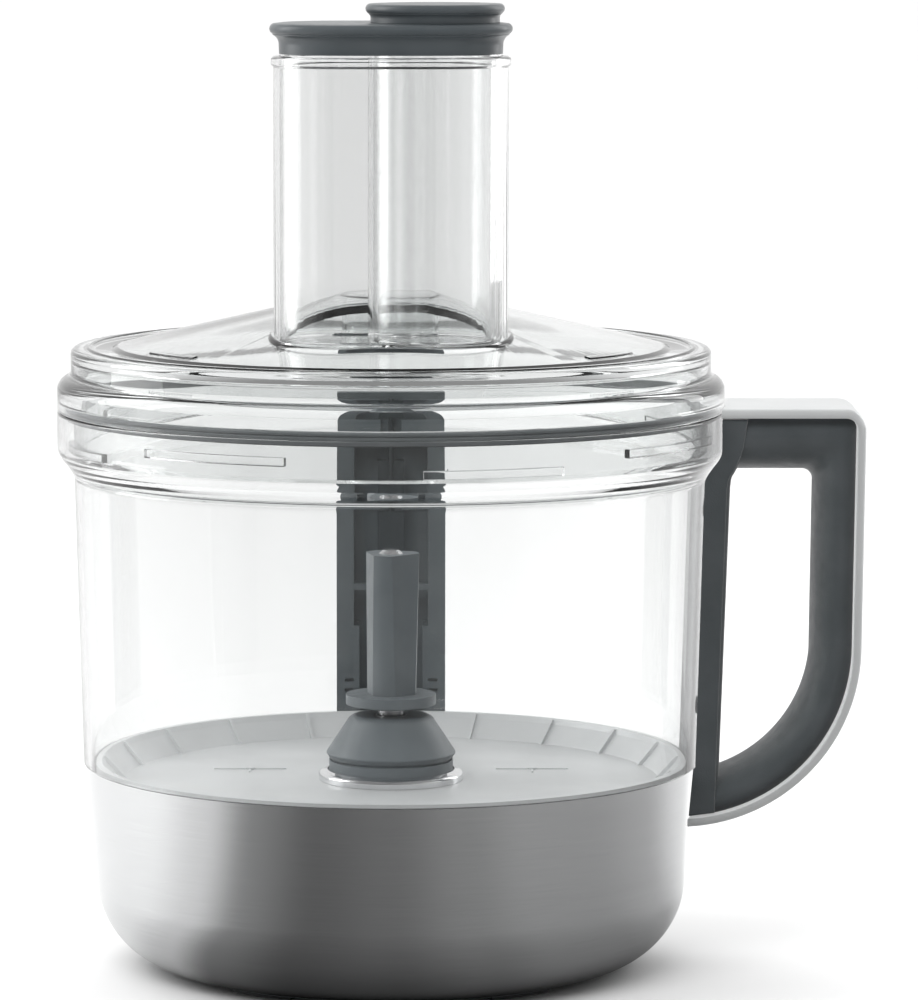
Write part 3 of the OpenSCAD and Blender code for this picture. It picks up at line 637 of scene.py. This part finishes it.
def make_tube():
    """Solid feed tube with a beaded rim, cut off below along the inside of the cone."""
    rim_r = TUBE_R + 0.8 * MM
    section = rounded([(TUBE_R, 216 * MM), (TUBE_R, TUBE_TOP_Z - 3.6 * MM),
                       (rim_r, TUBE_TOP_Z - 3 * MM), (rim_r, TUBE_TOP_Z - 0.8 * MM),
                       (TUBE_R - 0.4 * MM, TUBE_TOP_Z)],
                      [0, 0.5 * MM, 0.5 * MM, 0.8 * MM, 0], closed=False)
    tube = revolve("tube_outer", section, stadium, closed=False)
    under = revolve("under_lid", [(0, UNDER_LID_Z), (CONE_R, UNDER_LID_Z),
                                  (CONE_R, cone_z(CONE_R, 1 * MM)), (0, cone_z(0, 1 * MM))])
    tube_low_z = 227.5 * MM
    low = revolve("tube_low_cut", [(0, UNDER_LID_Z), (CONE_R, UNDER_LID_Z), (CONE_R, tube_low_z),
                                   (0, tube_low_z)])
    return combine(tube, [combine(under, [low], "INTERSECT")], "DIFFERENCE")


def tube_foot():
    """Round bead where the feed tube rises from the cone."""
    inner_r = TUBE_R - 1 * MM
    bead, raised = 1.5 * MM, 0.4 * MM
    section = [(inner_r, 0.0)]
    section += arc(TUBE_R + raised, raised, bead, -15, 90, 7)
    section += [(inner_r, raised + bead)]
    loops = [[(x, y, cone_z(math.hypot(x, y), 0.6 * MM) + up) for x, y in stadium(r)]
             for r, up in section]
    return loft("tube_foot", loops, closed=True)


def lid_boss():
    """Short tube under the middle of the lid, over the top of the stem."""
    inner_r, low_z, high_z = BOSS_R - 2 * MM, 221 * MM, cone_z(BOSS_R, 1 * MM)
    return revolve("lid_boss", rounded([(BOSS_R, low_z), (BOSS_R, high_z), (inner_r, high_z),
                                        (inner_r, low_z)], [0.6 * MM, 0, 0, 0.6 * MM]))


def make_lid():
    """Clear lid: spigot with lugs, rim, shoulder, raised ring, cone and feed tube."""
    lid = revolve("lid_shell", lid_outside() + lid_inside())
    lid = combine(lid, [make_tube(), tube_foot(), lid_lugs(), make_cam(), grip_ticks(),
                        cone_marks(), lid_boss()])
    bore_r = TUBE_R - TUBE_WALL
    bore = revolve("tube_bore", [(bore_r, 190 * MM), (bore_r, TUBE_TOP_Z + PAST)],
                   stadium, closed=False)
    return combine(lid, [bore], "DIFFERENCE")


def make_seal():
    """Grey sealing ring between the bowl's collar and the lid, with three ribs outside."""
    outer_r = SEAL_HIGH.x
    inner_r = outer_r - 2.5 * MM
    low, high = SEAL_LOW.z, SEAL_HIGH.z
    # How far a rib stands out, which is also half the width of its top, and half its foot
    rib, foot = 0.35 * MM, 0.7 * MM
    ribs = []
    for i in range(3):
        z = low + (high - low) * (i + 0.5) / 3
        ribs += [(outer_r - rib, z - foot), (outer_r, z - rib)]
        ribs += [(outer_r, z + rib), (outer_r - rib, z + foot)]
    return revolve("seal_ring", [(inner_r, low)] + ribs + [(inner_r, high)])


# ---- Pushers -----------------------------------------------------------------

PUSHER_WALL = 1.5 * MM
PUSHER_BORE_R = 21.4 * MM


def upright(name, r, low, high, plan):
    """A straight-sided solid on that plan, between two heights."""
    return revolve(name, [(r, low), (r, high)], plan, closed=False)


def make_pusher():
    """Clear pusher with a round bore for the small pusher."""
    top = CAP_LOW.z + 2 * MM
    low = PUSHER_LOW.z
    section = rounded([(PUSHER_R - 2 * MM, low), (PUSHER_R, low), (PUSHER_R, top)],
                      [0, 1.2 * MM, 0], closed=False)
    outer = revolve("pusher_shell", section, stadium, closed=False)
    inner_r = PUSHER_R - PUSHER_WALL
    section = rounded([(inner_r - 2 * MM, low + PUSHER_WALL), (inner_r, low + PUSHER_WALL),
                       (inner_r, top + 1 * MM)], [0, 1 * MM, 0], closed=False)
    hollow = revolve("pusher_hollow", section, stadium, closed=False)
    post = upright("pusher_post", PUSHER_R, low - PAST, top + PAST, small_round)
    hollow = combine(hollow, [post], "DIFFERENCE")
    bore = upright("pusher_bore", PUSHER_BORE_R, low - PAST, top + PAST, small_round)
    return combine(outer, [hollow, bore], "DIFFERENCE")


def make_small_pusher():
    """Clear round cup that slides in the pusher's bore."""
    inner_r = SMALL_R - PUSHER_WALL
    floor_z = SMALL_LOW.z + PUSHER_WALL
    section = rounded([(0, SMALL_LOW.z), (SMALL_R, SMALL_LOW.z), (SMALL_R, SMALL_HIGH.z),
                       (inner_r, SMALL_HIGH.z), (inner_r, floor_z), (0, floor_z)],
                      [0, 1.5 * MM, 0, 0, 1 * MM, 0])
    return revolve("small_pusher_shell", section, small_round)


def make_pusher_cap():
    """Slate cap with a flared rim, over the feed tube."""
    low, high = CAP_LOW.z, CAP_HIGH.z
    rim_r = CAP_HIGH.y - TUBE_Y
    flare, lip = 3.6 * MM, 1.9 * MM
    section = [(PUSHER_R + 0.2 * MM, low)]
    section += arc(PUSHER_R + 3.9 * MM, low + 3.2 * MM, flare, 182, 115, 8)
    section += arc(rim_r - lip, high - 2.1 * MM, lip, -65, 70, 8)
    section += [(rim_r - 4 * MM, high)]
    cap = revolve("pusher_cap_shell", section, stadium, closed=False)
    bore = upright("cap_bore", PUSHER_BORE_R, low - PAST, high + PAST, small_round)
    return combine(cap, [bore], "DIFFERENCE")


def make_small_cap():
    """Round slate cap with a flared rim, which closes the small pusher."""
    base, top = CAP_HIGH.z, SMALL_CAP_TOP_Z
    plug_z = base - 2.5 * MM
    seat_z = base + 0.1 * MM
    rim_r, flare, lip = mm(22, 1.75, 1.7)
    section = [(0, plug_z), (19 * MM, plug_z), (19.4 * MM, seat_z), (rim_r, seat_z)]
    section += arc(rim_r + flare, base + 1.6 * MM, flare, 182, 117, 6)
    section += arc(rim_r, top - lip, lip, -55, 75, 8)
    section += [(20.6 * MM, top), (0, top)]
    return revolve("small_cap_shell", section, small_round)


# ---- Skirt and hub -----------------------------------------------------------

def make_skirt():
    """Deep steel skirt: tapered wall over a large rounded corner, open underneath."""
    corner_r, corner_z, big, sheet = mm(73, 32, 31, 0.9)
    low_angle, high_angle = -79.8, -5.14
    outer = arc(corner_r, corner_z, big, low_angle, high_angle, 48)
    low_r, low_z = outer[-1]
    outer += [(low_r + (SKIRT_R - low_r) * k / 12, low_z + (SKIRT_TOP_Z - low_z) * k / 12)
              for k in range(1, 12)]
    outer += [(SKIRT_R - 0.05 * MM, SKIRT_TOP_Z - 0.3 * MM), (SKIRT_R - 0.3 * MM, SKIRT_TOP_Z)]
    inner = [(SKIRT_R - sheet, SKIRT_TOP_Z)]
    inner += list(reversed(arc(corner_r, corner_z, big - sheet, low_angle, high_angle, 48)))
    return revolve("skirt_shell", outer + inner, lambda r: circle(r, 256))


def hub_plan(r):
    """Plan of the hub's pieces, with fewer points than the wide ones."""
    return circle(r, 128)


def make_hub_cover():
    """Dark cone with a rounded shoulder and top. A bore and wider steps run up inside it."""
    low_z, step_z, ledge_z = mm(73.5, 80.9, 86.7)
    bore_r, step_r, inner_r = mm(5.4, 9.1, 12.2)
    round_r, lip = mm(3.8, 0.5)
    section = [(HUB_R, low_z)]
    section += arc(22.0 * MM, 75.2 * MM, 0.8 * MM, -60, 28, 6)
    section += arc(inner_r, HUB_TOP_Z - round_r, round_r, 24, 90, 10)
    section += [(9 * MM, HUB_TOP_Z)]
    section += arc(bore_r + lip, HUB_TOP_Z - lip, lip, 90, 180, 4)
    section += [(bore_r, ledge_z), (step_r, ledge_z), (step_r, step_z), (inner_r, step_z)]
    section += [(inner_r, low_z)]
    return revolve("hub_cover_shell", section, hub_plan)


def make_hub_ring():
    """Bright ring round the hub: an upright sleeve under a rounded lip."""
    r = HUB_R
    low_z, lip_z = mm(62, 65.6)
    sleeve_r = r + 2.1 * MM
    section = [(r + 0.1 * MM, low_z), (sleeve_r, low_z), (sleeve_r, lip_z), (r + 3.7 * MM, lip_z)]
    section += arc(r + 2.4 * MM, 67.2 * MM, 1.35 * MM, 5, 100, 8)
    section += arc(r + 0.7 * MM, 68.6 * MM, 0.6 * MM, 80, 180, 5)
    return revolve("hub_ring_shell", section, hub_plan)


# ---- Handle ------------------------------------------------------------------

BAND_THICK = 3.2 * MM
TOP_Z = TRIM_HIGH.z - BAND_THICK
EDGE_X = TRIM_HIGH.x - BAND_THICK
CORNER_R = 4 * MM
# The round lower ends of the band and of the finger window: middle (x, z) and radius
SWEEP = mm(101.2, 115.4, 60.2)
WINDOW_SWEEP = mm(99.6, 116, 48.1)
WINDOW_TOP_Z = 176.6 * MM
WINDOW_CORNER_X = 144.2 * MM
# Inside the bowl's space, which cuts the root's inner side away
ROOT_X = 103 * MM
SCREW_HEIGHTS = mm(92, 162)
# The gap between the handle and the bowl that it hugs
HUG_GAP = 0.1 * MM
# How much narrower the bar is where it meets the band, on each side
BAR_TUCK = 4.2 * MM


def dense(points, gap=2 * MM):
    """The same line with more points on its long stretches."""
    out = [points[0]]
    for a, b in zip(points, points[1:]):
        steps = max(1, int(math.dist(a, b) / gap))
        out += [(a[0] + (b[0] - a[0]) * k / steps, a[1] + (b[1] - a[1]) * k / steps)
                for k in range(1, steps + 1)]
    return out


def band_line(start):
    """The band's inner edge, from the bowl over the top and round to the skirt."""
    return ([(start, TOP_Z)]
            + arc(EDGE_X - CORNER_R, TOP_Z - CORNER_R, CORNER_R, 90, 0, 12)
            + arc(*SWEEP, -1, -89, 48))


def bowl_space():
    """The bowl and skirt with a small gap, which the handle hugs."""
    over_lid_z = 230 * MM
    collar_r = COLLAR_R + HUG_GAP
    section = [(0, 0), (104 * MM, 0), mm(104.2, 30), (SKIRT_R + HUG_GAP, SKIRT_TOP_Z),
               (WALL_LOW_R + HUG_GAP, SKIRT_TOP_Z + 0.3 * MM)]
    section += s_curve(WALL_TOP_R + HUG_GAP, NECK_Z - 0.2 * MM, collar_r, NECK_Z + NECK_H - 0.2 * MM)
    section += [(collar_r, over_lid_z), (0, over_lid_z)]
    return revolve("bowl_space", section)


def along(points):
    """Point, direction and length so far, for each point of a line."""
    out, run = [], 0.0
    for i, p in enumerate(points):
        a, b = Vector(points[max(i - 1, 0)]), Vector(points[min(i + 1, len(points) - 1)])
        if i:
            run += math.dist(points[i - 1], p)
        out.append((Vector(p), (b - a).normalized(), run))
    return out


def make_trim():
    """Satin band along the handle's outer edge, with fully rounded outer corners."""
    half = (TRIM_HIGH.y - TRIM_LOW.y) / 2
    soft, chamfer = mm(2.9, 0.3)
    section = arc(half - soft, BAND_THICK - soft, soft, 0, 90, 10)
    section += arc(soft - half, BAND_THICK - soft, soft, 90, 180, 10)
    section += [(chamfer - half, 0), (half - chamfer, 0)]
    loops = []
    for point, way, _ in along(dense(band_line(100 * MM))):
        outward = Vector((-way.y, way.x))
        loops.append([(point.x + outward.x * d, y, point.y + outward.y * d) for y, d in section])
    band = loft("handle_band", loops, 50)
    return combine(band, [bowl_space()], "DIFFERENCE")


def window_line():
    """The inner edge of the bar, from the root's upper end round to its lower end."""
    return ([(108 * MM, WINDOW_TOP_Z)]
            + arc(WINDOW_CORNER_X, WINDOW_TOP_Z - CORNER_R, CORNER_R, 90, 0, 12)
            + arc(*WINDOW_SWEEP, -5, -75, 48))


def resample(points, count):
    """That many points, evenly spaced along the line."""
    marks = along(points)
    total = marks[-1][2]
    out, i = [], 0
    for k in range(count):
        want = total * k / (count - 1)
        while i < len(marks) - 2 and marks[i + 1][2] < want:
            i += 1
        span = marks[i + 1][2] - marks[i][2]
        share = 0 if span < 1e-12 else (want - marks[i][2]) / span
        out.append(marks[i][0].lerp(marks[i + 1][0], min(share, 1)))
    return out


def bar_section(thick, half):
    """Half of the bar's section: (distance from its inner edge, half width there)."""
    widest = 0.62 * thick
    side = []
    for k in range(15):
        u = widest * (1 - math.cos(math.pi / 2 * k / 14))
        side.append((u, half * (1 - (1 - u / widest) ** 2) ** 0.5))
    for k in range(1, 9):
        u = widest + (thick - widest) * k / 8
        side.append((u, half - BAR_TUCK * (k / 8) ** 2))
    return side


def make_grip():
    """Rounded bar of the handle: widest along a ridge, tucked in where it meets the band."""
    half = (GRIP_HIGH.y - GRIP_LOW.y) / 2 - 1 * MM
    outer = band_line(108 * MM)
    inner = window_line()
    pairs = []
    # The straight top, the corner and the sweep, each with its own number of cross-sections;
    # neighbours share the one where they meet
    for start, end, count in ((0, 2, 30), (1, 14, 13), (13, None, 90)):
        outside = resample(outer[start:end], count)
        inside = resample(inner[start:end], count)
        pairs += list(zip(inside, outside))[(1 if pairs else 0):]
    loops = []
    for inside, outside in pairs:
        side = bar_section((outside - inside).length + 0.2 * MM, half)
        way = (outside - inside).normalized()
        loop = [(inside.x + way.x * u, -y, inside.y + way.y * u) for u, y in side]
        loop += [(inside.x + way.x * u, y, inside.y + way.y * u) for u, y in reversed(side[1:])]
        loops.append(loop)
    return loft("handle_bar", loops, 50)


def root_outline(grown=0.0):
    """Flat root of the handle, seen from the front; its free edge is moved out by grown."""
    free_edge = [(124.3, TOP_Z / MM - 0.4), (123.5, 190.4), (122.8, 186), (121.8, 182.6), (120.2, 179),
                 (117.5, 174.4), (117.1, 171), (113.9, 76), (113.5, 57)]
    free_edge = [(x * MM + grown, z * MM) for x, z in free_edge]
    radii = [0, 9 * MM, 9 * MM, 9 * MM, 9 * MM, 4 * MM, 4 * MM, 9 * MM, 0]
    return ([(ROOT_X, TOP_Z - 0.4 * MM)] + rounded(free_edge, radii, closed=False)
            + [(ROOT_X, 55.7 * MM)])


def make_root():
    """Root of the handle, with a bulging core behind its flat front."""
    half = (GRIP_HIGH.y - GRIP_LOW.y) / 2
    core = slab("root_core", root_outline(1.6 * MM), half - 6 * MM, 3 * MM)
    return combine(slab("handle_root", root_outline(), half, 0.8 * MM), [core])


def screw_recess(z):
    """Round hole in the root's free edge that the head of a screw lies in."""
    turns = [2 * math.pi * i / 32 for i in range(32)]
    r = 3.4 * MM
    return loft("screw_recess", [[(x, r * math.cos(a), z + r * math.sin(a)) for a in turns]
                                 for x in mm(113.4, 121)])


def make_handle():
    """Dark handle: the bar round the finger window, its root and two screw recesses."""
    grip = combine(make_grip(), [make_root()])
    return combine(grip, [bowl_space()] + [screw_recess(z) for z in SCREW_HEIGHTS], "DIFFERENCE")


# ---- Building the object -----------------------------------------------------

dress_cad_nodes()
show(make_bowl(), "bowl_unit", CLEAR, ["bowl"])
show(make_lid(), "lid", CLEAR_LID, ["lid"])
show(make_seal(), "seal", SEAL_RUBBER, ["lid_seal"])
show(make_pusher(), "pusher", CLEAR_PUSHER, ["pusher_body"])
show(make_pusher_cap(), "pusher", CAP, ["pusher_cap"])
show(make_small_pusher(), "small_pusher", CLEAR_PUSHER, ["small_pusher_body"])
show(make_small_cap(), "small_pusher", CAP, ["small_pusher_cap"])
show(make_skirt(), "bowl_unit", SKIRT_STEEL, ["steel_skirt"])
show(make_hub_cover(), "bowl_unit", SLATE, ["hub_cover"])
show(make_hub_ring(), "bowl_unit", CHROME, ["hub_ring"])
BAND = show(make_trim(), "bowl_unit", TRIM, ["handle_trim"])
HANDLE = show(make_handle(), "bowl_unit", GRIP, ["handle_grip"])
# The skirt doesn't mirror the handle beside it
BAND.visible_glossy = False
HANDLE.visible_glossy = False


# ---- Floor, light and camera -------------------------------------------------

# Brightness round the object: (degrees from the camera's side, strength). STUDIO is the low ring
# of light, and FLOOR_CARDS is the floor as mirrors find it. The camera itself sees a plain white
# studio and a plain floor.
STUDIO = ((-180, 1.0), (-138, 1.05), (-106, 1.15), (-78, 0.68), (-51, 0.25), (-27, 0.14), (0, 0.18),
          (27, 0.31), (51, 0.45), (78, 0.75), (112, 1.1), (150, 1.1), (180, 1.0))
FLOOR_CARDS = ((-180, 0.55), (-125, 0.5), (-88, 0.48), (-62, 0.35), (-45, 0.11), (-23, 0.055), (0, 0.075),
               (23, 0.12), (43, 0.16), (66, 0.16), (95, 0.2), (127, 0.42), (150, 0.7), (180, 0.6))
# Overhead, from the camera's side to the far side: for matt surfaces, then for mirrors
OVERHEAD_MATT = (0.5, 3.3)
OVERHEAD_MIRRORED = (0.3, 1.0)
# Each of them changes between these values of a direction's Y
MATT_SPAN = (-0.7, 0.5)
MIRRORED_SPAN = (0.2, 0.8)
# The ring gives way to the overhead between these values of a direction's Z
OVERHEAD_STARTS = (0.35, 0.75)
FLOOR_WHITE = (0.62, 0.62, 0.62)
LIGHT_AIM = Vector((0, 0, 0.15))
BOUNCES = 40


def round_about(nodes, links, parts, stops):
    """A value set by the direction round the vertical axis, from a table of degrees and values."""
    away = calculate(nodes, links, "MULTIPLY", parts["Y"], -1)
    turn = calculate(nodes, links, "ARCTAN2", parts["X"], away)
    ramp = nodes.new("ShaderNodeValToRGB")
    ramp.color_ramp.interpolation = "EASE"
    marks = ramp.color_ramp.elements
    while len(marks) < len(stops):
        marks.new(0.5)
    for mark, (degrees, strength) in zip(marks, stops):
        mark.position = (degrees + 180) / 360
        mark.color = (strength, strength, strength, 1)
    links.new(spread(nodes, links, turn, 0, 1, -math.pi, math.pi), ramp.inputs["Fac"])
    return ramp.outputs["Color"]


def make_floor():
    """Pale floor. Mirrors and clear plastic find dark card on it in front of the object."""
    mat, nodes, links, shader = new_material("studio_floor")
    path = nodes.new("ShaderNodeLightPath").outputs
    parts = split(nodes, links, coordinates(nodes))
    cards = round_about(nodes, links, parts, FLOOR_CARDS)
    colour = blend(nodes, links, "RGBA", path["Is Glossy Ray"], (*FLOOR_WHITE, 1), cards)
    links.new(colour, shader.inputs["Base Color"])
    shader.inputs["Roughness"].default_value = 0.9
    shader.inputs["Specular IOR Level"].default_value = 0.1
    bm = bmesh.new()
    reach, floor_z = 30, -0.0002
    corners = ((-reach, -reach), (reach, -reach), (reach, reach), (-reach, reach))
    bm.faces.new([bm.verts.new((x, y, floor_z)) for x, y in corners])
    floor = finish_mesh("studio_floor", bm)
    floor.data.materials.append(mat)


def make_light(name, size, power, place, mirrored=True):
    """A softbox aimed at the bowl. One that isn't mirrored lights matt surfaces only."""
    lamp = bpy.data.lights.new(name, "AREA")
    lamp.shape = "RECTANGLE"
    lamp.size, lamp.size_y = size
    lamp.energy = power
    holder = bpy.data.objects.new(name, lamp)
    holder.location = place
    holder.rotation_euler = (LIGHT_AIM - Vector(place)).to_track_quat("-Z", "Y").to_euler()
    holder.visible_glossy = mirrored
    holder.visible_transmission = mirrored
    bpy.context.scene.collection.objects.link(holder)


def mixed_sky(nodes, links, parts, around, height, strengths, span):
    """The ring of soft light low down, and a front-to-back sweep overhead."""
    above = spread(nodes, links, parts["Y"], *strengths, *span, "SMOOTHSTEP")
    return blend(nodes, links, "FLOAT", height, around, above)


def make_world():
    """Soft white studio, darker on the camera's side so that rounded edges show."""
    world = bpy.data.worlds.new("studio")
    bpy.context.scene.world = world
    world.use_nodes = True
    nodes, links = world.node_tree.nodes, world.node_tree.links
    parts = split(nodes, links, coordinates(nodes, "Generated"))
    around = round_about(nodes, links, parts, STUDIO)
    height = spread(nodes, links, parts["Z"], 0, 1, *OVERHEAD_STARTS, "SMOOTHSTEP")
    matt = mixed_sky(nodes, links, parts, around, height, OVERHEAD_MATT, MATT_SPAN)
    mirrored = mixed_sky(nodes, links, parts, around, height, OVERHEAD_MIRRORED, MIRRORED_SPAN)
    path = nodes.new("ShaderNodeLightPath").outputs
    lit = blend(nodes, links, "FLOAT", path["Is Glossy Ray"], matt, mirrored)
    seen = blend(nodes, links, "FLOAT", path["Is Camera Ray"], lit, 1.0)
    links.new(seen, nodes["Background"].inputs["Strength"])
    nodes["Background"].inputs["Color"].default_value = (1, 1, 1, 1)


def make_camera():
    """Long lens in front of the object, a little above it and tilted down."""
    data = bpy.data.cameras.new("camera")
    data.sensor_width = 36
    data.lens = 205.2
    data.shift_x = 0.068
    data.clip_end = 100
    camera = bpy.data.objects.new("camera", data)
    camera.location = (0, -1.995, 0.3889)
    camera.rotation_euler = (math.radians(83.6), 0, 0)
    bpy.context.scene.collection.objects.link(camera)
    bpy.context.scene.camera = camera


make_floor()
make_world()
make_light("left_softbox", (1.1, 1.7), 14, (-1.75, 0.35, 0.85))
make_light("right_softbox", (0.4, 1.5), 5, (1.5, 1.1, 0.8))
make_light("front_fill", (1.6, 1.0), 38, (-0.5, -1.7, 1.5), mirrored=False)
make_camera()
bpy.context.scene.view_settings.view_transform = "Standard"
bpy.context.scene.cycles.max_bounces = BOUNCES
bpy.context.scene.cycles.transmission_bounces = BOUNCES
bpy.context.scene.cycles.transparent_max_bounces = BOUNCES
